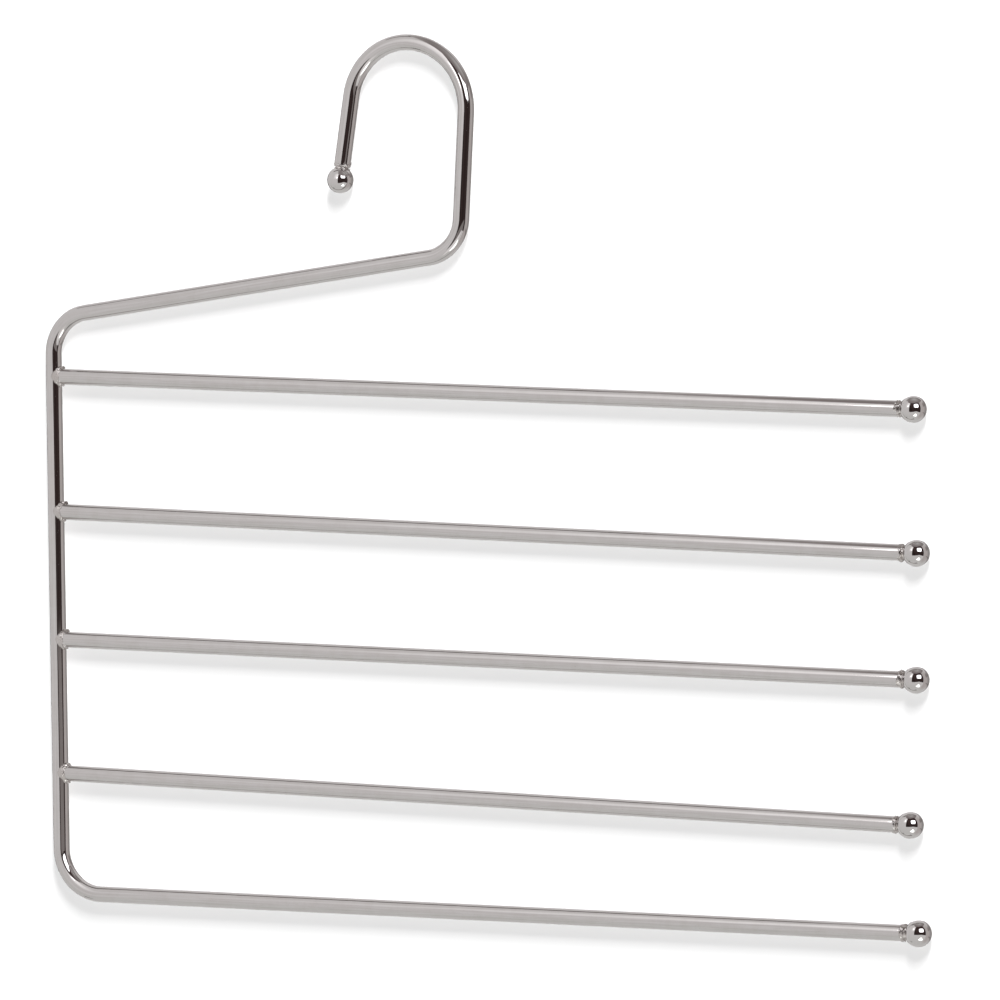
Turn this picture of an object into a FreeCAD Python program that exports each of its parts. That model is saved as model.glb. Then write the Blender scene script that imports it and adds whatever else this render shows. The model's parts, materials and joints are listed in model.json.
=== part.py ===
import FreeCAD, Part
import math
import os

# Trouser hanger: one bent steel rod, four straight bars, six end balls, and the welds that hold them.
# Everything lies in the XZ plane. +X runs along the bars to their free ends, +Z is up, and Y is the
# thickness. The origin is the rail seat, the inside top of the hook. Millimetres and degrees.

# Stock
rod_diameter = 6.35           # quarter-inch round steel, the same for the frame and the bars
ball_diameter = 10.3          # solid steel ball on every free end
rod_end_break = 0.45          # small chamfer round a cut rod end

# Hook, which drops over a closet rail. Its two bends meet at the top, and all radii are the centreline's
lip_radius = 23.6             # bend from the free side up to the top
crown_radius = 26.7           # easier bend from the top down to the leg
tip_lean = 5.5                # the free side leans outwards from straight down
tip_reach = 32.9              # from the lip bend to the centre of the hook ball
leg_run = 41.1                # straight leg, from the crown bend to the neck bend

# Shoulder, the sloping run from the leg out to the spine
neck_radius = 15.5
shoulder_slope = 9.75
shoulder_run = 153.7
shoulder_radius = 15.95

# Spine, the upright that carries the bars
spine_lean = 4.0              # its foot stands further along +X than its head
foot_run = 29.7               # from the lowest welded bar to the foot bend
foot_radius = 18.35

# Bottom bar, the other end of the bent rod
bottom_rise = 0.95
bottom_reach = 351.6          # from the foot bend to the centre of its ball

# Welded bars. The step is the distance down the spine from the bar above, and for the first bar
# from the shoulder bend. The reach is from the spine's centreline to the centre of the ball.
bars = {
    "bar_1": {"step": 8.65, "tilt": 0.02, "reach": 371.4},
    "bar_2": {"step": 53.3, "tilt": -0.12, "reach": 371.6},
    "bar_3": {"step": 50.4, "tilt": 0.28, "reach": 370.3},
    "bar_4": {"step": 52.6, "tilt": -0.06, "reach": 366.9},
}

# Welds
nugget_thickness = 0.85       # weld metal between a rod's end face and the flat on its ball
nugget_inset = 0.15           # how far the nugget's rim lies inside the rim of that end face
nugget_lip = 0.25             # how far the nugget's rim stands out round the ball's flat
bar_stop = 1.6                # a bar's end reaches this close to the spine's centreline, wrapped part way
bead_stop = 1.2               # and the fillet weld round it this close
bead_leg = 1.1                # fillet weld's leg in the corners between a bar and the spine
bead_crown = 0.3              # its height over the front and back of the rods

# Worked out from the sizes above
rod_radius = rod_diameter / 2
ball_radius = ball_diameter / 2
nugget_radius = rod_radius - rod_end_break - nugget_inset
flat_radius = nugget_radius - nugget_lip                       # the flat that welding leaves on a ball
ball_flat = math.sqrt(ball_radius**2 - flat_radius**2)         # from the ball's centre to its flat
rod_face = ball_flat + nugget_thickness                        # and to the rod's end face
spine_run = sum(bar["step"] for bar in bars.values()) + foot_run


def direction(heading):
    """Unit vector in the XZ plane, at an angle from +X towards +Z."""
    turn = math.radians(heading)
    return FreeCAD.Vector(math.cos(turn), 0, math.sin(turn))


def placed(shape, point, heading):
    """The shape, drawn along +X from the origin, moved to a point and turned to a heading."""
    turned = FreeCAD.Rotation(FreeCAD.Vector(0, -1, 0), heading)
    shape.Placement = FreeCAD.Placement(point, turned)
    return shape


def run_edge(start, heading, length):
    """A straight run, its end point and the heading there."""
    end = start + direction(heading) * length
    return Part.makeLine(start, end), end, heading


def bend_edge(start, heading, radius, turn):
    """An arc that leaves along a heading and turns by an angle, left when it is positive."""
    side = math.copysign(1, turn)
    centre = start + direction(heading + 90 * side) * radius

    def on_arc(part):
        return centre + direction(heading + part * turn - 90 * side) * radius

    return Part.Arc(start, on_arc(0.5), on_arc(1)).toShape(), on_arc(1), heading + turn


def chamfered_rod(near, far):
    """A round rod along +X between two distances from the origin, with its far end chamfered."""
    body_start = FreeCAD.Vector(near, 0, 0)
    nose_start = FreeCAD.Vector(far - rod_end_break, 0, 0)
    body = Part.makeCylinder(rod_radius, nose_start.x - near, body_start, direction(0))
    nose = Part.makeCone(rod_radius, rod_radius - rod_end_break, rod_end_break, nose_start, direction(0))
    return body.fuse(nose).removeSplitter()


def end_ball(centre, heading):
    """A ball on a rod that arrives along a heading, with the flat that faces the rod."""
    lowest = -math.degrees(math.asin(ball_flat / ball_radius))
    ball = Part.makeSphere(ball_radius, FreeCAD.Vector(), direction(0), lowest, 90, 360)
    return placed(ball, centre, heading)


def ball_nugget(centre, heading):
    """The weld between a rod's end face and a ball: a disc whose rim follows the ball's surface."""
    def section_point(along, out):
        return FreeCAD.Vector(along, 0, out)

    def on_ball(angle):
        turn = math.radians(angle)
        return section_point(-ball_radius * math.cos(turn), ball_radius * math.sin(turn))

    inner = math.degrees(math.asin(flat_radius / ball_radius))
    outer = math.degrees(math.asin(nugget_radius / ball_radius))
    corners = [
        on_ball(inner),
        section_point(-ball_flat, 0),
        section_point(-rod_face, 0),
        section_point(-rod_face, nugget_radius),
        on_ball(outer),
    ]
    rim = Part.Arc(on_ball(outer), on_ball((inner + outer) / 2), on_ball(inner)).toShape()
    outline = Part.Wire([*Part.makePolygon(corners).Edges, rim])
    disc = Part.Face(outline).revolve(FreeCAD.Vector(), direction(0), 360)
    return placed(disc, centre, heading)


def spine_stub(crossing, radius):
    """A short length of the spine's axis at a crossing, at some radius."""
    half = rod_diameter
    start = crossing - direction(spine_heading) * half
    return Part.makeCylinder(radius, 2 * half, start, direction(spine_heading))


def straight_bar(crossing, tilt, reach):
    """A bar whose end is hollowed to sit against the spine, up to its end face at the ball."""
    bar = placed(chamfered_rod(bar_stop, reach - rod_face), crossing, tilt)
    return bar.cut(spine_stub(crossing, rod_radius))


def spine_bead(crossing, tilt):
    """The fillet weld round a bar where it meets the spine."""
    reach = rod_radius + bead_leg
    out = direction(tilt)
    collar = Part.makeCylinder(reach, rod_radius - bead_stop, crossing + out * bead_stop, out)
    taper = Part.makeCone(reach, rod_radius, bead_leg, crossing + out * rod_radius, out)
    half_thickness = rod_radius + bead_crown
    slab_corner = crossing - FreeCAD.Vector(2 * reach, half_thickness, 2 * reach)
    slab = Part.makeBox(4 * reach, 2 * half_thickness, 4 * reach, slab_corner)
    bead = collar.fuse(taper).common(spine_stub(crossing, reach)).common(slab)
    bar = Part.makeCylinder(rod_radius, 3 * rod_diameter, crossing + out * bar_stop, out)
    return bead.cut(spine_stub(crossing, rod_radius)).cut(bar)


# The bent rod's centreline, from the hook's tip to the free end of the bottom bar
lip_centre = FreeCAD.Vector(0, 0, rod_radius - lip_radius)
lip_start = lip_centre + direction(180 - tip_lean) * lip_radius
hook_ball_centre = lip_start + direction(-90 - tip_lean) * tip_reach
tip_heading = 90 - tip_lean

moves = [
    ("tip", "run", tip_reach - rod_face - rod_end_break),
    ("lip", "bend", lip_radius, -tip_heading),
    ("crown", "bend", crown_radius, -90),
    ("leg", "run", leg_run),
    ("neck", "bend", neck_radius, shoulder_slope - 90),
    ("shoulder", "run", shoulder_run),
    ("shoulder_bend", "bend", shoulder_radius, 90 - shoulder_slope + spine_lean),
    ("spine", "run", spine_run),
    ("foot", "bend", foot_radius, 90 - spine_lean + bottom_rise),
    ("bottom", "run", bottom_reach - rod_face - rod_end_break),
]
point = hook_ball_centre + direction(tip_heading) * (rod_face + rod_end_break)
heading = tip_heading
rod_start = point
path = []
starts = {}
for name, kind, *sizes in moves:
    starts[name] = (point, heading)
    step = run_edge if kind == "run" else bend_edge
    edge, point, heading = step(point, heading, *sizes)
    path.append(edge)
rod_end = point
bottom_heading = heading % 360
spine_start, spine_heading = starts["spine"]
bottom_ball_centre = rod_end + direction(bottom_heading) * (rod_face + rod_end_break)

# The bent rod itself
centreline = Part.Wire(path)
profile = Part.Wire([Part.makeCircle(rod_radius, rod_start, direction(tip_heading))])
bent_rod = centreline.makePipeShell([profile], True, False)
tip_nose = Part.makeCone(
    rod_radius, rod_radius - rod_end_break, rod_end_break, rod_start, direction(tip_heading + 180)
)
free_nose = Part.makeCone(
    rod_radius, rod_radius - rod_end_break, rod_end_break, rod_end, direction(bottom_heading)
)
nodes = {"frame_rod": bent_rod.fuse([tip_nose, free_nose]).removeSplitter()}

# The welded bars, with their beads on the spine
ball_places = {"hook": (hook_ball_centre, tip_heading + 180)}
down_spine = 0
for name, bar in bars.items():
    down_spine += bar["step"]
    crossing = spine_start + direction(spine_heading) * down_spine
    nodes[name] = straight_bar(crossing, bar["tilt"], bar["reach"])
    nodes[f"{name}_weld"] = spine_bead(crossing, bar["tilt"])
    ball_places[name] = (crossing + direction(bar["tilt"]) * bar["reach"], bar["tilt"])
ball_places["bottom_bar"] = (bottom_ball_centre, bottom_heading)

# A ball and its weld on every free end
for name, (centre, arriving) in ball_places.items():
    nodes[f"{name}_ball"] = end_ball(centre, arriving)
    nodes[f"{name}_ball_weld"] = ball_nugget(centre, arriving)

os.makedirs("parts", exist_ok=True)
for name, shape in nodes.items():
    if not shape.isValid() or len(shape.Solids) != 1:
        raise ValueError(f"{name} is not one valid solid")
    shape.Solids[0].exportStep(f"parts/{name}.step")
    print(f"{name}: {shape.Volume:.1f} mm3")

swept = math.pi * rod_radius**2 * centreline.Length
print(f"bent rod: {centreline.Length:.1f} mm long, sweep {bent_rod.Volume:.1f}, section x length {swept:.1f}")
print(f"inside width of the hook: {lip_radius + crown_radius - rod_diameter:.1f} mm")
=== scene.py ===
# %% [markdown]
# # A chromed trouser hanger, built up cell by cell
# The hanger is one bent steel rod that makes the hook, the shoulder, the spine and the bottom bar, with
# four straight bars welded to the spine and a steel ball on every free end. All of it is chrome plated.
# The design is already settled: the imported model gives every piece's place and size. This lesson makes
# the pieces again as smooth surfaces, because chrome is a mirror and shows every flat of a coarse mesh.

# %% Load the fixed frame
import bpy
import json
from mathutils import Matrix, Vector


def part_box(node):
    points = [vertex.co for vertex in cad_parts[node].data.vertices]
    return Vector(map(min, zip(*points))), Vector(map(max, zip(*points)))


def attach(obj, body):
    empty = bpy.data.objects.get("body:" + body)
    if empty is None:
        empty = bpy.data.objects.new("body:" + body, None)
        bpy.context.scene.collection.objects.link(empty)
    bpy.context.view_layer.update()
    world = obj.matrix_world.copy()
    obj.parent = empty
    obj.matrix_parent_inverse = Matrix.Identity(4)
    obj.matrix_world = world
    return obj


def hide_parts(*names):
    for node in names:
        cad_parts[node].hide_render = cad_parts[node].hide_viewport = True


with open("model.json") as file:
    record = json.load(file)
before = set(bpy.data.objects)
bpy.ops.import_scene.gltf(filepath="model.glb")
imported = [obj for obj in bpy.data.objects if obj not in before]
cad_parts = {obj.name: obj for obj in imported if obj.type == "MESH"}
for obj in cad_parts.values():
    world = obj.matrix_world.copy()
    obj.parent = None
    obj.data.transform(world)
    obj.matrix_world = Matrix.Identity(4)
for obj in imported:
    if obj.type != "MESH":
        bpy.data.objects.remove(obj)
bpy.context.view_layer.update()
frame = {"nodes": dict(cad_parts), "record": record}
print("nodes in the frame:", len(frame["nodes"]))

# %% The libraries used
import json
import math

import bpy
import numpy as np
from mathutils import Matrix, Vector

# %% [markdown]
# ## The hanger's driving sizes
# The bent rod is a chain of straight runs and round bends, as a wire bender would set them up. The values
# are the design's own, here in metres. Its frame has the origin at the inside top of the hook, +X along
# the bars to their free ends, +Z up and Y through the thickness.

# %% Sizes in metres, angles in degrees
MM = 0.001
rod_radius = 3.175 * MM
end_break = 0.45 * MM
lip_radius, crown_radius = 23.6 * MM, 26.7 * MM
tip_lean, tip_reach, leg_run = 5.5, 32.9 * MM, 41.1 * MM
neck_radius, shoulder_slope, shoulder_run = 15.5 * MM, 9.75, 153.7 * MM
shoulder_radius, spine_lean = 15.95 * MM, 4.0
bar_steps = {"bar_1": 8.65 * MM, "bar_2": 53.3 * MM, "bar_3": 50.4 * MM, "bar_4": 52.6 * MM}
bar_tilts = {"bar_1": 0.02, "bar_2": -0.12, "bar_3": 0.28, "bar_4": -0.06}
foot_run, foot_radius = 29.7 * MM, 18.35 * MM
bottom_rise, bottom_reach = 0.95, 351.6 * MM
rod_face = 5.445 * MM
bar_stop = 1.6 * MM
spine_run = sum(bar_steps.values()) + foot_run
print("spine is", round(1000 * spine_run, 1), "mm long")

# %% [markdown]
# ## The bent rod's centreline
# A bend is an arc that starts in the direction the last run left off, so the chain stays tangent all the
# way and its mirror finish shows no kink. Each stretch gives whole arrays: the points along it, the
# heading at each point, and the distance travelled. Bends get closer stations than straight runs.

# %% Runs and bends as arrays
through = np.array([0.0, 1.0, 0.0])


def unit(heading):
    """Unit vectors in the XZ plane for headings in degrees from +X towards +Z."""
    turn = np.radians(heading)
    return np.stack([np.cos(turn), np.zeros_like(turn), np.sin(turn)], axis=-1)


def run(start, heading, length, spacing=2.0 * MM):
    """A straight stretch: start + distance x heading, at even stations."""
    travelled = np.linspace(0, length, max(2, round(length / spacing) + 1))
    points = start + travelled[:, None] * unit(np.array(float(heading)))
    return points, np.full(len(travelled), float(heading)), travelled


def bend(start, heading, radius, turn, spacing=0.6 * MM):
    """An arc: its centre is one radius to the side, and the radius swings round by the turn."""
    side = math.copysign(1, turn)
    centre = start + radius * unit(np.array(heading + 90.0 * side))
    length = radius * math.radians(abs(turn))
    share = np.linspace(0, 1, round(length / spacing) + 1)
    headings = heading + turn * share
    points = centre + radius * unit(headings - 90.0 * side)
    return points, headings, length * share


print("the lip bend has", len(bend(np.zeros(3), 0.0, lip_radius, -90.0)[0]), "stations to a quarter turn")

# %% Follow the rod from the hook's tip to the free end of the bottom bar
tip_heading = 90 - tip_lean
lip_start = np.array([0, 0, rod_radius - lip_radius]) + lip_radius * unit(np.array(180 - tip_lean))
hook_ball_centre = lip_start + tip_reach * unit(np.array(-90 - tip_lean))
stretches = [
    ("tip", run, tip_reach - rod_face),
    ("lip", bend, lip_radius, -tip_heading),
    ("crown", bend, crown_radius, -90.0),
    ("leg", run, leg_run),
    ("neck", bend, neck_radius, shoulder_slope - 90),
    ("shoulder", run, shoulder_run),
    ("shoulder_bend", bend, shoulder_radius, 90 - shoulder_slope + spine_lean),
    ("spine", run, spine_run),
    ("foot", bend, foot_radius, 90 - spine_lean + bottom_rise),
    ("bottom", run, bottom_reach - rod_face),
]
point = hook_ball_centre + rod_face * unit(np.array(float(tip_heading)))
heading = float(tip_heading)
travelled = 0.0
starts, line, headings, distances = {}, [], [], []
for name, kind, *sizes in stretches:
    starts[name] = (point, heading)
    points, turns, along = kind(point, heading, *sizes)
    first = 1 if line else 0
    line.append(points[first:])
    headings.append(turns[first:])
    distances.append(travelled + along[first:])
    point, heading, travelled = points[-1], turns[-1], travelled + along[-1]
line, headings, distances = np.vstack(line), np.hstack(headings), np.hstack(distances)
spine_start, spine_heading = starts["spine"]
bottom_heading = heading
print("rod is", round(1000 * travelled, 1), "mm long, with", len(line), "stations")

# %% [markdown]
# ## Putting a surface into a mesh
# Every piece here is a grid of points whose columns close on themselves. Most are shut by a pole at each
# end, like a drawn-out sphere, and a bead round a seam closes the other way too, like a ring. One helper
# writes such a mesh. It measures the volume from the faces and turns them over if it comes out negative,
# so that they always point outwards. It also stores, as a UV map, how far each point lies along the piece
# and round it in metres, which the finish follows.

# %% From faces to a closed mesh
def closed_piece(name, corners, quads, caps, row, column, along, around):
    """A smooth closed mesh. Its volume is a sixth of the sum of a . (b x c) over its triangles."""
    halves = np.vstack([quads[:, [0, 1, 2]], quads[:, [0, 2, 3]], caps])
    a, b, c = (corners[halves[:, k]] for k in range(3))
    volume = np.einsum("ij,ij->i", a, np.cross(b, c)).sum() / 6
    if volume < 0:
        quads, caps = quads[:, ::-1], caps[:, ::-1]
    mesh = bpy.data.meshes.new(name)
    mesh.from_pydata(corners.tolist(), [], quads.tolist() + caps.tolist())
    loops = np.empty(len(mesh.loops), np.int32)
    mesh.loops.foreach_get("vertex_index", loops)
    sizes = np.repeat([4, 3], [len(quads), len(caps)])
    face_of = np.repeat(np.arange(len(sizes)), sizes)
    face_starts = np.cumsum(sizes) - sizes

    def unrolled(distance, place):
        """The distance at each face corner, carried on past the seam where a face crosses it."""
        count, spot = len(distance), place[loops]
        crossing = np.maximum.reduceat(spot, face_starts)[face_of] == count - 1
        carried_on = distance[0] + np.ptp(distance) * count / (count - 1)
        return np.append(distance, carried_on)[np.where(crossing & (spot == 0), count, spot)]

    chart = np.stack([unrolled(along, row), unrolled(around, column)], axis=-1)
    mesh.uv_layers.new(name="metres").data.foreach_set("uv", chart.astype(np.float32).ravel())
    mesh.polygons.foreach_set("use_smooth", np.ones(len(mesh.polygons), bool))
    mesh.update()
    piece = bpy.data.objects.new(name, mesh)
    bpy.context.scene.collection.objects.link(piece)
    print(f"{name}: {len(mesh.polygons)} faces, {abs(volume) * 1e9:.1f} mm3")
    return piece


# %% From a grid of points to faces
def skin(name, grid, along, around):
    """A grid whose columns wrap round, with a pole in the middle of its first row and of its last."""
    rows, columns = grid.shape[:2]
    index = np.arange(rows * columns).reshape(rows, columns)
    beside = np.roll(index, -1, axis=1)
    quads = np.stack([index[:-1], beside[:-1], beside[1:], index[1:]], axis=-1).reshape(-1, 4)
    low, high = rows * columns, rows * columns + 1
    cap_low = np.stack([np.full(columns, low), beside[0], index[0]], axis=-1)
    cap_high = np.stack([np.full(columns, high), index[-1], beside[-1]], axis=-1)
    corners = np.vstack([grid.reshape(-1, 3), grid[0].mean(0), grid[-1].mean(0)])
    row = np.concatenate([index.ravel() // columns, [0, rows - 1]])
    column = np.concatenate([index.ravel() % columns, [0, 0]])
    return closed_piece(name, corners, quads, np.vstack([cap_low, cap_high]), row, column, along, around)


def ring(name, grid, along, around):
    """A grid that wraps both ways, like a torus, and so needs no poles."""
    rows, columns = grid.shape[:2]
    index = np.arange(rows * columns).reshape(rows, columns)
    beside = np.roll(index, -1, axis=1)
    after, after_beside = np.roll(index, -1, axis=0), np.roll(beside, -1, axis=0)
    quads = np.stack([index, beside, after_beside, after], axis=-1).reshape(-1, 4)
    no_caps = np.empty((0, 3), int)
    row, column = index.ravel() // columns, index.ravel() % columns
    return closed_piece(name, grid.reshape(-1, 3), quads, no_caps, row, column, along, around)


# %% Smooth unevenness
def ripple(along, around, seed, waves=7, finest=5):
    """Smooth unevenness between about -1 and 1: a sum of sine waves with seeded turns and phases."""
    chance = np.random.default_rng(seed)
    total = np.zeros(np.broadcast(along, around).shape)
    for _ in range(waves):
        lengthwise = chance.uniform(0.4, finest)
        round_about = chance.integers(0, finest + 1)
        phase = chance.uniform(0, 2 * np.pi)
        total = total + np.sin(lengthwise * along + round_about * around + phase)
    return total / math.sqrt(waves * 2)


sample = ripple(0.0, np.linspace(0, 2 * np.pi, 60), 1)
print("a ripple runs from", sample.min().round(2), "to", sample.max().round(2))

# %% [markdown]
# ## Drawn steel rod
# The rod is a circle carried along its centreline. A cut end is not a sharp disc: the cut is broken with
# a small round and then the welding arc softens it. So near each end the circle shrinks along a quarter
# round, and a few shrinking rings close the face. In a tight bend the tool presses the round a little
# flat, so the section is a shade wider across the bend's plane than in it.

# %% A circle carried along a line
face_rings = rod_radius * np.array([0.12, 0.4, 0.7])


def rounded_end(count=7):
    """Rings for a broken edge: how far each is set back from the face, and its loss of radius."""
    turn = np.linspace(0, np.pi / 2, count)
    return end_break * (1 - np.sin(turn)), end_break * (1 - np.cos(turn))


def tube(name, centres, directions, along, radii, squash=0.0, columns=96):
    """A circle carried along a line: centre + radius x (cos x side + sin x thickness)."""
    angle = np.linspace(0, 2 * np.pi, columns, endpoint=False)
    side = unit(directions + 90.0)
    in_plane = (radii * (1 - squash))[:, None, None] * np.cos(angle)[None, :, None] * side[:, None, :]
    across = (radii * (1 + squash / 2))[:, None, None] * np.sin(angle)[None, :, None] * through
    return skin(name, centres[:, None, :] + in_plane + across, along, rod_radius * angle)


set_back, loss = rounded_end()
print("a broken edge has", len(set_back), "rings")

# %% The bent rod's surface
most_flattening = 0.012
tight_turning = 3500.0
tip_point, tip_way = line[0], unit(headings[0])
end_point, end_way = line[-1], unit(headings[-1])
opening_radii = np.concatenate([face_rings, rod_radius - loss[::-1]])
opening_back = np.concatenate([np.zeros(len(face_rings)), set_back[::-1]])
body = slice(1, -1)
centres = np.vstack([
    tip_point + opening_back[:, None] * tip_way,
    line[body],
    end_point - opening_back[::-1, None] * end_way,
])
directions = np.concatenate([
    np.full(len(opening_back), headings[0]), headings[body], np.full(len(opening_back), headings[-1])
])
rod_along = np.concatenate([opening_back, distances[body], distances[-1] - opening_back[::-1]])
rod_radii = np.concatenate([opening_radii, np.full(len(line[body]), rod_radius), opening_radii[::-1]])
turning = np.abs(np.gradient(directions, rod_along + np.arange(len(rod_along)) * 1e-9))
smoothed = np.convolve(turning, np.ones(9) / 9, "same")
flattening = most_flattening * np.clip(smoothed / tight_turning, 0, 1)
frame_rod = tube("bent_rod", centres, directions, rod_along, rod_radii, flattening)

# %% [markdown]
# ## The straight bars
# A bar is the same stock. Its far end is cut square and broken like the rod's. Its near end is hollowed
# so that it sits against the spine: seen along the bar, a point that lies off to the front or back can
# reach further in before it meets the round spine, but no further than the bar's own cut end.

# %% A bar with a saddle end
overlap = 0.05 * MM
hidden_end = 1.2 * MM
blend_from, blend_over = 4 * MM, 6 * MM


def saddle_start(across):
    """Distance from the spine's axis where a bar's surface meets the spine, less a hair of overlap."""
    meets = np.sqrt(np.clip(rod_radius**2 - across**2, 0, None))
    return np.maximum(meets, bar_stop) - overlap


def straight_bar(name, crossing, tilt, reach, columns=96):
    """Rings along a tilted line; the first rings blend from the saddle's curve to square ones."""
    angle = np.linspace(0, 2 * np.pi, columns, endpoint=False)
    face = reach - rod_face
    first = saddle_start(rod_radius * np.sin(angle))
    plain = np.concatenate([
        np.linspace(0, 1, 12)[:-1] ** 1.5 * blend_over + blend_from,
        np.linspace(blend_from + blend_over, face - end_break, 170),
    ])
    blend_in = np.clip((plain - blend_from) / blend_over, 0, 1)[:, None]
    stations = np.vstack([
        np.full(columns, hidden_end),
        (first + hidden_end) / 2,
        first[None, :] * (1 - blend_in) + plain[:, None] * blend_in,
        np.tile((face - set_back)[1:, None], columns),
        np.full((len(face_rings), columns), face),
    ])
    radii = np.concatenate([
        rod_radius * np.array([0.3, 0.7]),
        np.full(len(plain), rod_radius),
        rod_radius - loss[1:],
        face_rings[::-1],
    ])
    way, side = unit(np.array(float(tilt))), unit(np.array(tilt + 90.0))
    outward = np.cos(angle)[:, None] * side + np.sin(angle)[:, None] * through
    grid = crossing + stations[..., None] * way + radii[:, None, None] * outward
    return skin(name, grid, stations.mean(axis=1), rod_radius * angle)


# %% Make the four bars
def ball_centre_of(node):
    """A ball's centre and radius from its box: the flat cuts only the side that faces its rod."""
    low, high = (np.array(corner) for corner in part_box(node))
    radius = (high[1] - low[1]) / 2
    centre = (low + high) / 2
    if node == "hook_ball":
        centre[2] = low[2] + radius
    else:
        centre[0] = high[0] - radius
    return centre, radius


pieces = {"frame_rod": frame_rod}
crossings = {}
down = 0.0
for name, step in bar_steps.items():
    down += step
    crossings[name] = spine_start + down * unit(np.array(spine_heading))
    centre, ball_radius = ball_centre_of(f"{name}_ball")
    reach = float(np.linalg.norm(centre - crossings[name]))
    pieces[name] = straight_bar(f"straight_{name}", crossings[name], bar_tilts[name], reach)

# %% [markdown]
# ## End balls
# Each ball is a turned and tumbled steel ball. It is a sphere in latitude and longitude, with its poles
# in line with its rod, so that the rings run round the weld. Tumbling leaves it very slightly uneven,
# which makes the mirror image in it waver at the edges without changing its outline.

# %% A ball on the end of a rod
pole_gap = 0.01
tumbling = 0.0012


def turned_about(way):
    """Three directions for a round piece: its axis, and two across it."""
    return way, -through, np.cross(way, -through)


def end_ball(name, centre, radius, way, seed):
    """A sphere: radius x (cos latitude round the axis + sin latitude along it), times a small ripple."""
    latitude = np.linspace(-np.pi / 2 + pole_gap, np.pi / 2 - pole_gap, 72)[:, None]
    angle = np.linspace(0, 2 * np.pi, 128, endpoint=False)[None, :]
    axis, front, up = turned_about(way)
    uneven = 1 + tumbling * ripple(latitude * 1.6, angle, seed, finest=3) * np.cos(latitude) ** 2
    reach = radius * uneven
    grid = (centre + (reach * np.sin(latitude))[..., None] * axis
            + (reach * np.cos(latitude) * np.cos(angle))[..., None] * front
            + (reach * np.cos(latitude) * np.sin(angle))[..., None] * up)
    return skin(name, grid, radius * latitude[:, 0], radius * angle[0])


ball_ways = {"hook": -unit(np.array(float(tip_heading))), "bottom_bar": unit(np.array(bottom_heading))}
for name, tilt in bar_tilts.items():
    ball_ways[name] = unit(np.array(float(tilt)))
ball_centres = {}
for seed, (name, way) in enumerate(ball_ways.items()):
    ball_centres[name], ball_radius = ball_centre_of(f"{name}_ball")
    pieces[f"{name}_ball"] = end_ball(f"ball_on_{name}", ball_centres[name], ball_radius, way, 40 + seed)

# %% [markdown]
# ## The welds under the balls
# Each ball is joined to its rod by a small blob of melted steel. It is a neck, thinner than the rod, with
# a lip that has run out unevenly over the end of the rod on some sides and drawn back on others. No two
# are alike. The surface is a profile turned round the rod's axis, whose radius and reach vary with the
# angle by a seeded ripple.

# %% A neck of weld metal between rod and ball
# distance from the ball's centre along the rod and radius in millimetres, from over the rod to the ball
neck_profile = np.array([
    (-7.1, 2.9), (-6.9, 3.12), (-6.5, 3.3), (-6.0, 3.36), (-5.5, 3.25), (-5.15, 2.95),
    (-4.95, 2.72), (-4.75, 2.66), (-4.55, 2.78), (-4.3, 2.98), (-4.0, 3.05), (-3.8, 2.9),
]) * MM
lip_from, lip_over = 4.9, 0.9                    # where the lip over the rod's end starts, and its rise
lip_spread, lip_drawn_back = 0.30 * MM, 0.04 * MM
lip_run_out = 0.35 * MM
lump_height = 0.23 * MM


def ball_weld(name, centre, way, seed):
    """A turned profile: radius + lip x (spread x ripple - drawn back) + lump height x finer ripple."""
    fine = np.linspace(0, len(neck_profile) - 1, 44)
    along, radius = (np.interp(fine, np.arange(len(neck_profile)), neck_profile[:, k])[:, None]
                     for k in range(2))
    angle = np.linspace(0, 2 * np.pi, 112, endpoint=False)[None, :]
    lip = np.clip((-along / MM - lip_from) / lip_over, 0, 1)
    spread = ripple(along / MM * 0.3, angle, seed, finest=3)
    lumps = ripple(along / MM * 2.6, angle, seed + 100, waves=9, finest=7)
    radius = radius + lip * (lip_spread * spread - lip_drawn_back) + lump_height * lumps
    along = along + lip * lip_run_out * ripple(0.0 * along, angle, seed + 200, finest=4)
    axis, front, up = turned_about(way)
    grid = (centre + along[..., None] * axis + (radius * np.cos(angle))[..., None] * front
            + (radius * np.sin(angle))[..., None] * up)
    return skin(name, grid, along.mean(axis=1), 3.0 * MM * angle[0])


# %% Make the six ball welds
for seed, (name, way) in enumerate(ball_ways.items()):
    pieces[f"{name}_ball_weld"] = ball_weld(f"weld_under_{name}_ball", ball_centres[name], way, 60 + seed)

# %% [markdown]
# ## The welds on the spine
# Where a bar meets the spine a bead of weld follows the seam. It is narrow and tall in the two corners,
# above and below the bar, where there was room for metal, and low and wide over the front and back. The
# bead is a low mound carried along the seam and closed on itself, so it is made as a ring and not as a
# tube with poles.

# %% A ring of weld metal round a seam
# each in millimetres: over the front and back, the change into a corner, and the unevenness
bead_width = (1.65, -0.70, 0.20)
bead_height = (0.17, 0.70, 0.05)
bead_shift = (0.50, -0.20, 0.18)                 # how far its middle stands off from the seam


def varied(amounts, corner, uneven):
    """In metres: the front's amount + change x corner + unevenness x ripple."""
    front, change, share = amounts
    return (front + change * corner + share * uneven) * MM


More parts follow.
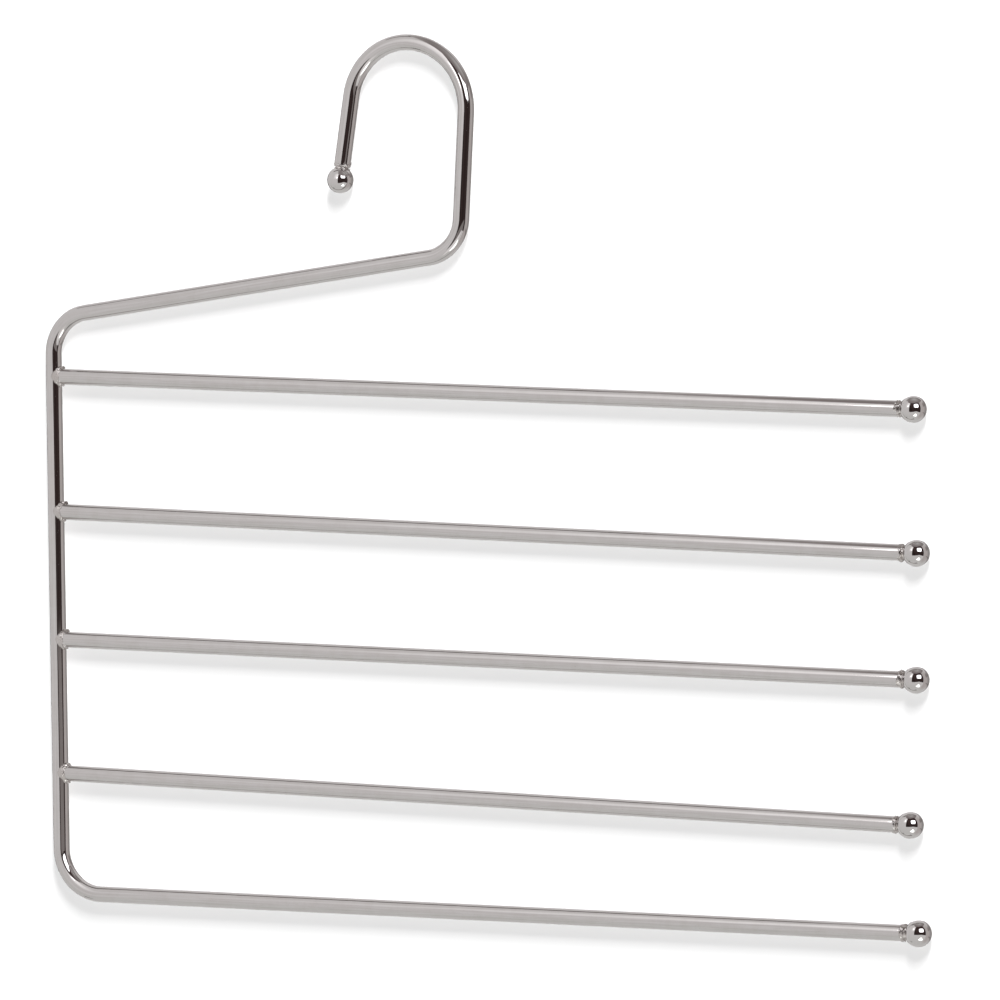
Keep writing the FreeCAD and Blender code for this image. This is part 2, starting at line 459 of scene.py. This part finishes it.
def spine_bead(name, crossing, tilt, seed):
    """A mound: seam + width x lumps x cos turn along the bar + height x lumps x sin turn |sin turn| out."""
    angle = np.linspace(0, 2 * np.pi, 160, endpoint=False)[:, None]
    turn = np.linspace(0, 2 * np.pi, 32, endpoint=False)[None, :]
    way, side = unit(np.array(float(tilt))), unit(np.array(tilt + 90.0))
    across = rod_radius * np.sin(angle)
    seam_out = np.maximum(np.sqrt(np.clip(rod_radius**2 - across**2, 0, None)), bar_stop)
    corner = np.abs(np.cos(angle)) ** 1.6
    uneven = ripple(0.0 * angle, angle, seed, finest=5)
    lumps = 1 + (0.16 + 0.34 * corner) * ripple(turn, angle, seed + 10, waves=12, finest=11)
    shift = varied(bead_shift, corner, ripple(0.0 * angle, angle, seed + 20, finest=7))
    outward = (np.cos(angle) * side + np.sin(angle) * through)[:, None, :]
    seam = crossing + ((seam_out + shift) * way)[:, None, :] + rod_radius * outward
    wide = varied(bead_width, corner, uneven) * lumps * np.cos(turn)
    tall = varied(bead_height, corner, uneven) * lumps * np.sin(turn) * np.abs(np.sin(turn))
    grid = seam + wide[..., None] * way + tall[..., None] * outward
    return ring(name, grid, rod_radius * angle[:, 0], 0.8 * MM * turn[0])


# %% Make the four spine welds
for seed, (name, crossing) in enumerate(crossings.items()):
    pieces[f"{name}_weld"] = spine_bead(f"weld_on_{name}", crossing, bar_tilts[name], 80 + seed)

# %% [markdown]
# ## Shader maths as plain expressions
# A finish is a small sum: so much base, plus so much streak. One class wraps a number in a shader so that
# Python's own signs add the Math nodes, and one method adds any other kind of node.

# %% A number in a shader
class Number:
    """A number in a shader. Adding or multiplying it adds a Math node."""

    def __init__(self, tree, socket):
        self.tree, self.socket = tree, socket

    def maths(self, operation, *values):
        inputs = dict(enumerate(values))
        return self.tree.number(self.tree.add("ShaderNodeMath", {"operation": operation}, inputs))

    def __add__(self, other):
        return self.maths("ADD", self, other)

    def __sub__(self, other):
        return self.maths("SUBTRACT", self, other)

    def __mul__(self, other):
        return self.maths("MULTIPLY", self, other)

    def __truediv__(self, other):
        return self.maths("DIVIDE", self, other)

    def __pow__(self, other):
        return self.maths("POWER", self, other)

    def __rsub__(self, other):
        return self.maths("SUBTRACT", other, self)

    __radd__ = __add__
    __rmul__ = __mul__

    def step(self, low, high):
        """0 below low, 1 above high, and smooth between."""
        settings = {"interpolation_type": "SMOOTHSTEP"}
        inputs = {"Value": self, "From Min": low, "From Max": high}
        return self.tree.number(self.tree.add("ShaderNodeMapRange", settings, inputs))

    def between(self, rise, fall):
        """Up from 0 to 1 over the first range, and down again over the second."""
        return self.step(*rise) * (1 - self.step(*fall))


# %% A node tree
class Nodes:
    """A material's or the world's node tree, with one way to add a node."""

    def __init__(self, owner):
        owner.use_nodes = True
        self.tree = owner.node_tree
        self.tree.nodes.clear()

    def add(self, kind, settings=None, inputs=None):
        """A node of a kind: its settings are set first, then each socket gets a value or a link."""
        node = self.tree.nodes.new(kind)
        for key, value in (settings or {}).items():
            setattr(node, key, value)
        for key, value in (inputs or {}).items():
            socket = node.inputs[key]
            if isinstance(value, Number):
                self.tree.links.new(value.socket, socket)
            elif isinstance(value, bpy.types.NodeSocket):
                self.tree.links.new(value, socket)
            else:
                socket.default_value = value
        return node

    def number(self, node, output=0):
        return Number(self, node.outputs[output])

    def split(self, vector):
        """The three numbers in a vector."""
        parts = self.add("ShaderNodeSeparateXYZ", None, {0: vector})
        return [self.number(parts, k) for k in range(3)]

    def stretch(self, vector, *sizes):
        """The vector divided by a size each way, so that one unit of pattern is that size."""
        scale = [1 / size for size in sizes] + [1.0] * (3 - len(sizes))
        node = self.add("ShaderNodeVectorMath", {"operation": "MULTIPLY"}, {0: vector, 1: scale})
        return node.outputs[0]

    def noise(self, vector, detail=2.0, roughness=0.5):
        """Cloudy noise between about 0 and 1, one unit to a cloud."""
        inputs = {"Vector": vector, "Scale": 1.0, "Detail": detail, "Roughness": roughness}
        return self.number(self.add("ShaderNodeTexNoise", None, inputs))

    def mix(self, factor, first, second):
        """A colour between two colours."""
        node = self.add("ShaderNodeMix", {"data_type": "RGBA"}, {"Factor": factor, 6: first, 7: second})
        return node.outputs[2]


# %% [markdown]
# ## Bright chrome
# Chrome plate is a mirror of about six tenths brightness. Its colour is painted a little darker and warmer
# in patches and along the lines left by the drawing die. On rods and balls this is painted shade that
# streaks the reflection. It copies what lies under it: those lines run along a rod, a tumbled ball is
# smoother but has tiny dents, and weld metal stays rippled and holds a real brownish burnt tint in its
# hollows. All three are one finish with different amounts. The lines follow the piece's own UV map in
# metres. The waves are real heights in metres too, a few millionths, so the mirror image wavers as on real
# plate.

# %% One chrome for rods, balls and welds
cloud_size, patch_size, dent_spacing = 0.03, 0.006, 0.0045
dent_rim = (0.02, 0.075)
few_patches = (0.56, 0.66)


def chrome(name, base, burn_and_shade, gloss, wave_height, wave_size, line_height, line_size, dent_depth, burn_and_shade_depth):
    """Height is waves + lines - dents. Colour goes to the dark tone, and gloss dulls, along the lines."""
    material = bpy.data.materials.new(name)
    nodes = Nodes(material)
    chart = nodes.add("ShaderNodeUVMap", {"uv_map": "metres"}).outputs[0]
    place = nodes.add("ShaderNodeTexCoord").outputs["Object"]
    waves = nodes.noise(nodes.stretch(chart, *wave_size), 1.0)
    lines = nodes.noise(nodes.stretch(chart, *line_size), 3.0, 0.6)
    clouds = nodes.noise(nodes.stretch(place, *[cloud_size] * 3), 2.0)
    patches = nodes.noise(nodes.stretch(place, *[patch_size] * 3), 3.0, 0.6)
    cells = nodes.add("ShaderNodeTexVoronoi", {"feature": "F1"},
                      {"Vector": nodes.stretch(place, *[dent_spacing] * 3), "Scale": 1.0})
    dents = (1 - nodes.number(cells, "Distance").step(*dent_rim)) * patches.step(*few_patches)
    dull = (clouds * patches).step(0.22, 0.42)
    height = waves * wave_height + lines * line_height - dents * dent_depth
    bump = nodes.add("ShaderNodeBump", None, {"Strength": 1.0, "Distance": 1.0, "Height": height})
    # painted shade: the colour darkens in patches, along the die lines and in the dents; on rods and balls
    # this is painted shade that streaks the reflection, and on welds it is their real burnt tint
    burn_and_shade_mix = (patches.step(0.35, 0.7) * 0.35 + lines.step(0.35, 0.65) * 0.65) * burn_and_shade_depth
    colour = nodes.mix(burn_and_shade_mix + dents * 0.35, base, burn_and_shade)
    rough = gloss + lines.step(0.45, 0.75) * gloss * 0.5 + dull * gloss * 0.8 + dents * 0.2
    shader = nodes.add("ShaderNodeBsdfPrincipled", None, {
        "Base Color": colour, "Metallic": 1.0, "Roughness": rough, "Normal": bump.outputs[0],
    })
    nodes.add("ShaderNodeOutputMaterial", None, {0: shader.outputs[0]})
    print("finish:", name, "with", len(nodes.tree.nodes), "nodes")
    return material


# %% The three finishes
# the chrome's own tone, a darker and warmer copy of it that is painted shade, the welds' grey, and their
# real burnt tint
bright, painted_shade_chrome = (0.632, 0.614, 0.608, 1), (0.50, 0.475, 0.455, 1)
weld_grey, burnt = (0.615, 0.595, 0.585, 1), (0.40, 0.35, 0.31, 1)
rod_chrome = chrome(
    "chrome_on_drawn_rod", bright, painted_shade_chrome, gloss=0.045, wave_height=16e-6, wave_size=(0.045, 0.0045),
    line_height=0.9e-6, line_size=(0.03, 0.0007), dent_depth=12e-6, burn_and_shade_depth=0.42,
)
ball_chrome = chrome(
    "chrome_on_tumbled_ball", bright, painted_shade_chrome, gloss=0.035, wave_height=5e-6, wave_size=(0.004, 0.004),
    line_height=0.4e-6, line_size=(0.0012, 0.0012), dent_depth=12e-6, burn_and_shade_depth=0.15,
)
weld_chrome = chrome(
    "chrome_on_weld_metal", weld_grey, burnt, gloss=0.07, wave_height=50e-6, wave_size=(0.0011, 0.0011),
    line_height=14e-6, line_size=(0.00035, 0.00035), dent_depth=30e-6, burn_and_shade_depth=0.55,
)

# %% [markdown]
# ## Handing the pieces to the frame
# Each surface stands for the node of the same name, rides on the one body and takes its finish from that
# node's slot.

# %% Ride, replace and finish
finishes = {"chromed_rod": rod_chrome, "chromed_ball": ball_chrome, "chromed_weld": weld_chrome}
slots = {part["node"]: part["material_slot"] for part in frame["record"]["subparts"]}
for node, piece in pieces.items():
    piece.data.materials.append(finishes[slots[node]])
    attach(piece, "root")
    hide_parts(node)
print("pieces handed over:", len(pieces), "of", len(frame["nodes"]))

# %% [markdown]
# ## How well the surfaces sit on the design
# The rod and bars are worked out from sizes, so it is worth measuring that they lie where the packed
# model has them: the largest difference between the boxes of each surface and its node.

# %% Compare each surface's box with its node's box
for node in ("frame_rod", *bar_steps):
    spots = np.empty(len(pieces[node].data.vertices) * 3, np.float32)
    pieces[node].data.vertices.foreach_get("co", spots)
    spots = spots.reshape(-1, 3)
    low, high = (np.array(corner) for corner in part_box(node))
    gap = max(np.abs(spots.min(0) - low).max(), np.abs(spots.max(0) - high).max())
    print(f"{node}: largest difference {1000 * gap:.3f} mm")

# %% [markdown]
# ## The camera
# A long lens some way off, level with the middle of the hanger. It stands about 27 degrees round from
# square on, towards the free ends, and is rolled a little, so the bars run downhill.

# %% Place the camera
view_distance = 3.58
view_turn, view_roll = math.radians(26.7), math.radians(2.552)
framed_width = 0.3848
aim = np.array([0.04885, 0.0, -0.17234])
level = np.array([math.cos(view_turn), math.sin(view_turn), 0.0])
upright = np.array([0.0, 0.0, 1.0])
right = math.cos(view_roll) * level + math.sin(view_roll) * upright
up = math.cos(view_roll) * upright - math.sin(view_roll) * level
back = np.array([math.sin(view_turn), -math.cos(view_turn), 0.0])
lens = bpy.data.cameras.new("view")
lens.sensor_width = 36.0
lens.lens = lens.sensor_width * view_distance / framed_width
lens.clip_start, lens.clip_end = 0.1, 60.0
camera = bpy.data.objects.new("view", lens)
turned = Matrix(np.stack([right, up, back], axis=1).tolist())
camera.matrix_world = Matrix.Translation(Vector(aim + view_distance * back)) @ turned.to_4x4()
bpy.context.scene.collection.objects.link(camera)
bpy.context.scene.camera = camera
bpy.context.scene.view_settings.view_transform = "Standard"
print("lens:", round(lens.lens, 1), "mm")

# %% [markdown]
# ## A white board and a pale floor
# The hanger hangs flat against a white board, close enough for the balls to touch it, so its shadow falls
# just below each rod. Seen from behind, the board would hide the hanger, so its back lets everything
# through. The floor is plain and pale. Neither shows in the chrome: what chrome shows is arranged apart.

# %% A flat sheet and its paper
def sheet(name, corners, material):
    """A flat sheet from its four corners."""
    mesh = bpy.data.meshes.new(name)
    mesh.from_pydata([tuple(corner) for corner in corners], [], [(0, 1, 2, 3)])
    mesh.materials.append(material)
    made = bpy.data.objects.new(name, mesh)
    bpy.context.scene.collection.objects.link(made)
    return made


def paper(name, tone):
    """Matt paper from the front, nothing at all from the back."""
    material = bpy.data.materials.new(name)
    nodes = Nodes(material)
    place = nodes.add("ShaderNodeTexCoord").outputs["Object"]
    mottle = nodes.noise(nodes.stretch(place, 0.4, 0.4, 0.4), 2.0)
    shades = [tuple(level * part for part in tone) + (1,) for level in (0.985, 1.0)]
    front = nodes.add("ShaderNodeBsdfDiffuse", None, {"Color": nodes.mix(mottle, *shades)})
    clear = nodes.add("ShaderNodeBsdfTransparent")
    behind = nodes.add("ShaderNodeNewGeometry").outputs["Backfacing"]
    both = nodes.add("ShaderNodeMixShader", None, {0: behind, 1: front.outputs[0], 2: clear.outputs[0]})
    nodes.add("ShaderNodeOutputMaterial", None, {0: both.outputs[0]})
    return material


# %% Board and floor
board_y = ball_radius + 0.2 * MM
floor_z = -0.46
reach = 9.0
board = sheet("board", [(-reach, board_y, floor_z), (reach, board_y, floor_z), (reach, board_y, reach),
                        (-reach, board_y, reach)], paper("white_board", (0.90, 0.90, 0.90)))
floor = sheet("floor", [(-reach, -reach, floor_z), (reach, -reach, floor_z), (reach, reach, floor_z),
                        (-reach, reach, floor_z)], paper("pale_floor", (0.86, 0.86, 0.855)))
board.visible_glossy = floor.visible_glossy = False
floor.visible_diffuse = False
print("board at", round(1000 * board_y, 2), "mm behind the rods' centre plane")

# %% [markdown]
# ## What the chrome sees
# A mirror-bright rod is drawn by its surroundings. It hangs in a white tent that is open in front and to
# the right, where the room is dark and a large soft lamp stands. Behind it are a grey wall, a doorway, a
# shelf's shadow and a small second lamp. All of this is far off, so it is the world's own glow, and only
# reflections see it. The board gets an even, faint light from the world instead, and past the board's
# edge the camera sees plain pale grey. What stands closer to the hanger comes next, as cards.

# %% Colours of the surroundings
tent_white = (0.785, 0.765, 0.765, 1)
tent_low = (0.72, 0.718, 0.705, 1)
tent_side = (0.57, 0.525, 0.515, 1)
tent_back = (0.36, 0.345, 0.335, 1)
room_dark = (0.026, 0.018, 0.017, 1)
room_warm = (0.085, 0.058, 0.056, 1)
main_lamp_glow = (3.4, 3.4, 3.5, 1)
back_lamp_glow = (2.2, 2.2, 2.25, 1)
print("the main lamp is", round(main_lamp_glow[0] / tent_white[0], 1), "times as bright as the tent")


# %% The tent and the wall behind
def pointing(nodes, way, direction):
    """How far a direction lies along another: 1 where they agree."""
    inputs = {0: way, 1: tuple(direction)}
    return nodes.number(nodes.add("ShaderNodeVectorMath", {"operation": "DOT_PRODUCT"}, inputs), "Value")


world = bpy.data.worlds.new("tent")
bpy.context.scene.world = world
nodes = Nodes(world)
way = nodes.add("ShaderNodeTexCoord").outputs["Generated"]
way_x, way_y, way_z = nodes.split(way)
beside = way_y.step(-0.02, 0.05) * way_x.step(0.15, 0.75)
behind = way_y.step(0.5, 0.95) * way_z.between((-0.6, -0.25), (0.25, 0.6)) * way_x.step(-0.3, 0.1)
glow = nodes.mix(way_z.step(-0.7, 0.1), tent_low, tent_white)
glow = nodes.mix(beside * 0.9, glow, tent_side)
glow = nodes.mix(behind, glow, tent_back)

# %% The dark opening
opening_plane = (-0.012, -0.002)
opening_left = (-0.70, -0.68)
opening_foot = (-0.84853, -0.77782)
opening = (1 - way_y.step(*opening_plane)) * way_x.step(*opening_left) * way_z.step(*opening_foot)
cloud = nodes.noise(nodes.stretch(way, 0.35, 0.35, 0.35), 2.0)
room = nodes.mix(cloud.step(0.3, 0.75) * 0.5 + way_z.step(0.15, 0.75) * 0.5, room_dark, room_warm)
glow = nodes.mix(opening, glow, room)

# %% A shelf and a doorway at the back
doorway_way = (-0.70, 0.714, 0.0)
shelf = way_y.step(0.40, 0.50) * way_x.step(-0.38, -0.28)
under_shelf = shelf * way_z.between((0.25, 0.30), (0.52, 0.62))
low_edge = shelf * way_z.between((-0.34, -0.30), (-0.26, -0.22))
glow = nodes.mix(under_shelf * 0.5, glow, room_warm)
glow = nodes.mix(low_edge * 0.5, glow, room_warm)
doorway = pointing(nodes, way, doorway_way).step(0.95, 0.962) * way_z.step(-0.30, -0.26)
glow = nodes.mix(doorway, glow, room)


# %% Two lamps, and the world's output
def lamp_spot(nodes, way, towards, width, height):
    """1 inside a round-cornered patch of the world about a direction, and 0 elsewhere."""
    sideways = np.cross(towards, (0, 0, 1.0))
    upward = np.cross(sideways, towards)
    across = pointing(nodes, way, sideways / np.linalg.norm(sideways)) / width
    above = pointing(nodes, way, upward / np.linalg.norm(upward)) / height
    return (1 - (across ** 4 + above ** 4).step(0.6, 1.0)) * pointing(nodes, way, towards).step(0.3, 0.5)


main_lamp = lamp_spot(nodes, way, np.array([0.670, -0.562, 0.485]), 0.33, 0.27)
back_lamp = lamp_spot(nodes, way, np.array([-0.42, 0.86, 0.30]), 0.17, 0.13)
glow = nodes.mix(main_lamp, glow, main_lamp_glow)
glow = nodes.mix(back_lamp, glow, back_lamp_glow)
faint_light, backdrop_light = 0.05, 0.88
light_path = nodes.add("ShaderNodeLightPath")
strength = nodes.number(light_path, "Is Camera Ray") * backdrop_light + faint_light
tent = nodes.add("ShaderNodeBackground", None, {"Color": glow, "Strength": 1.0})
even = nodes.add("ShaderNodeBackground", None, {"Color": (1, 1, 1, 1), "Strength": strength})
chosen = nodes.add("ShaderNodeMixShader", None,
                   {0: light_path.outputs["Is Glossy Ray"], 1: even.outputs[0], 2: tent.outputs[0]})
nodes.add("ShaderNodeOutputWorld", None, {0: chosen.outputs[0]})
print("world has", len(nodes.tree.nodes), "nodes")


# %% [markdown]
# ## Cards that only reflections see
# What stands close to the hanger has to shift from one bar to the next, as near things do in a mirror. So
# the tent's left and low cloths, a brownish ceiling, a lamp that shines up from low down and a small
# bright flare are cards at their real distances. A card is glowing paint on a flat sheet. It throws no
# light or shadow on the board, and the camera doesn't see it.

# %% A glowing card
def card(name, corners, paint, sheer=False):
    """A glowing card, painted from the place on it in metres. A sheer one adds to what is behind it."""
    material = bpy.data.materials.new(name)
    nodes = Nodes(material)
    place = nodes.split(nodes.add("ShaderNodeTexCoord").outputs["Object"])
    glow, cover = paint(nodes, *place)
    shine = nodes.add("ShaderNodeEmission", None, {"Color": glow, "Strength": 1.0}).outputs[0]
    clear = nodes.add("ShaderNodeBsdfTransparent").outputs[0]
    if sheer:
        shine = nodes.add("ShaderNodeAddShader", None, {0: shine, 1: clear}).outputs[0]
    both = nodes.add("ShaderNodeMixShader", None, {0: cover, 1: clear, 2: shine})
    nodes.add("ShaderNodeOutputMaterial", None, {0: both.outputs[0]})
    made = sheet(name, corners, material)
    made.visible_camera = made.visible_diffuse = made.visible_shadow = False
    made.visible_transmission = made.visible_volume_scatter = False
    return made


# %% Cloths and ceiling
front_y, cloth_y = -0.69, -0.895
edge_x, side_x = 0.02, 1.05
table_z, ceiling_z = -0.45, 0.30
far = 4.8
lamp_lit = (1.36, 1.33, 1.34, 1)
# the ceiling's brown, and the colour of the painted pool of light on it
ceiling_brown, ceiling_light_pool = (0.29, 0.256, 0.255, 1), (0.56, 0.545, 0.54, 1)
ceiling_pale, ceiling_front = (0.62, 0.60, 0.59, 1), (0.14, 0.115, 0.115, 1)
pool_x, pool_y, pool_narrowness = 0.235, 0.02, 42.0


def tent_paint(nodes, x, y, z):
    """White cloth, a little brighter high on the left panel where the lamp catches it."""
    lift = z.between((-0.09, 0.24), (0.7, 1.2)) * x.step(-0.83, -0.03)
    cloth = nodes.mix(z.step(-1.6, -0.1), tent_low, tent_white)
    return nodes.mix(lift, cloth, lamp_lit), 1.0


def ceiling_paint(nodes, x, y, z):
    """Brown, with a painted pool of light near the free ends: e to the minus narrowness x distance squared.
    """
    falling = ((x - pool_x) ** 2 + (y - pool_y) ** 2) * -pool_narrowness
    pool = falling.maths("EXPONENT", falling)
    lit = nodes.mix(pool, ceiling_brown, ceiling_light_pool)
    lit = nodes.mix((1 - x.step(-0.14, 0.0)) * 0.6, lit, ceiling_pale)
    return nodes.mix(y.step(-0.42, -0.30), ceiling_front, lit), 1.0


cloths = {
    "tent_left": [(-far, cloth_y, -1.0), (edge_x, cloth_y, -1.0), (edge_x, cloth_y, far),
                  (-far, cloth_y, far)],
    "tent_low": [(-far, front_y, -far), (side_x, front_y, -far), (side_x, front_y, table_z),
                 (-far, front_y, table_z)],
    "tent_low_side": [(side_x, front_y, -far), (side_x, 0.0, -far), (side_x, 0.0, table_z),
                      (side_x, front_y, table_z)],
}
ceilings = {
    "ceiling": [(0.078, -0.414), (0.373, -0.327), (0.608, 0.053), (0.417, 0.45)],
    "ceiling_middle": [(0.078, -0.414), (0.417, 0.45), (0.135, 0.199), (-0.157, 0.104)],
    "ceiling_left": [(0.078, -0.414), (-0.157, 0.104), (-0.10, -0.09), (-0.05, -0.28)],
}
for name, corners in cloths.items():
    card(name, corners, tent_paint)
for name, outline in ceilings.items():
    card(name, [(x, y, ceiling_z) for x, y in outline], ceiling_paint)
print("cards:", len(cloths) + len(ceilings))

# %% Bright cards
faces_towards = np.array([0.2, 0.0, -0.2])
rim_softness = 0.35


def lamp_card(name, centre, width, height, brightness):
    """A bright card that faces the hanger. It covers where (x / half width)^4 + (y / half height)^4 < 1."""
    centre = np.array(centre)
    to_hanger = faces_towards - centre
    to_hanger /= np.linalg.norm(to_hanger)
    across = np.cross(to_hanger, (0, 0, 1.0))
    across /= np.linalg.norm(across)
    upward = np.cross(across, to_hanger)
    half_x, half_y = across * width / 2, upward * height / 2

    def paint(nodes, x, y, z):
        parts = {0: x - centre[0], 1: y - centre[1], 2: z - centre[2]}
        offset = nodes.add("ShaderNodeCombineXYZ", None, parts).outputs[0]
        sideways = pointing(nodes, offset, across / (width / 2))
        tall = pointing(nodes, offset, upward / (height / 2))
        return brightness, 1 - (sideways ** 4 + tall ** 4).step(1 - rim_softness, 1.0)

    corners = [centre - half_x - half_y, centre + half_x - half_y, centre + half_x + half_y,
               centre - half_x + half_y]
    return card(name, corners, paint)


lamp_card("lamp_low", (0.835, -0.54, -1.076), 0.72, 0.60, (2.6, 2.65, 2.6, 1))
lamp_card("flare", (-0.085, front_y + 0.01, 0.155), 0.10, 0.15, (3.6, 3.5, 3.6, 1))
print("bright cards: 2")

# %% [markdown]
# ## A glimmer on the spine
# The lower part of the spine shows a faint grey band inside its black one, and the bars don't. A sheer
# card adds that grey to what is behind it, and light linking lets only the bent rod see it.

# %% A sheer card for the bent rod alone
glimmer_grey = (0.235, 0.222, 0.218, 1)
glimmer_rise = 0.085
glimmer_top = (-0.222, -0.208)


def glimmer_paint(nodes, x, y, z):
    """A faint grey below a line that rises to the right."""
    return glimmer_grey, 1 - (z - x * glimmer_rise).step(*glimmer_top)


glimmer = card("glimmer", [(0.14, -0.65, -1.2), (1.9, -0.65, -1.2), (1.9, -0.65, 0.1), (0.14, -0.65, 0.1)],
               glimmer_paint, sheer=True)
seen_by = bpy.data.collections.new("sees_the_glimmer")
seen_by.objects.link(frame_rod)
glimmer.light_linking.receiver_collection = seen_by

# %% [markdown]
# ## Light on the board
# The board needs its own light, which the chrome doesn't mirror: a tall, narrow lamp high in front that
# throws a soft shadow just under each rod and hardly any beside it, over a fill that throws none.

# %% A key lamp and a fill
def board_light(kind, name, direction, distance):
    """A lamp some way off in a direction from the middle of the view, which chrome doesn't show."""
    light = bpy.data.lights.new(name, kind)
    lamp = bpy.data.objects.new(name, light)
    towards = Vector(direction).normalized()
    lamp.location = towards * distance + Vector(aim)
    lamp.rotation_euler = towards.to_track_quat("Z", "Y").to_euler()
    lamp.visible_glossy = False
    bpy.context.scene.collection.objects.link(lamp)
    return light


key = board_light("AREA", "board_key", (0.503, -1.0, 1.07), 3.6)
key.shape, key.size, key.size_y, key.energy = "RECTANGLE", 0.55, 1.7, 100.0
fill = board_light("SUN", "board_fill", (0.2, -0.75, 0.63), 4.0)
fill.energy, fill.use_shadow = 3.18, False
print("board lamps: key", key.energy, "W, fill", round(fill.energy, 2))
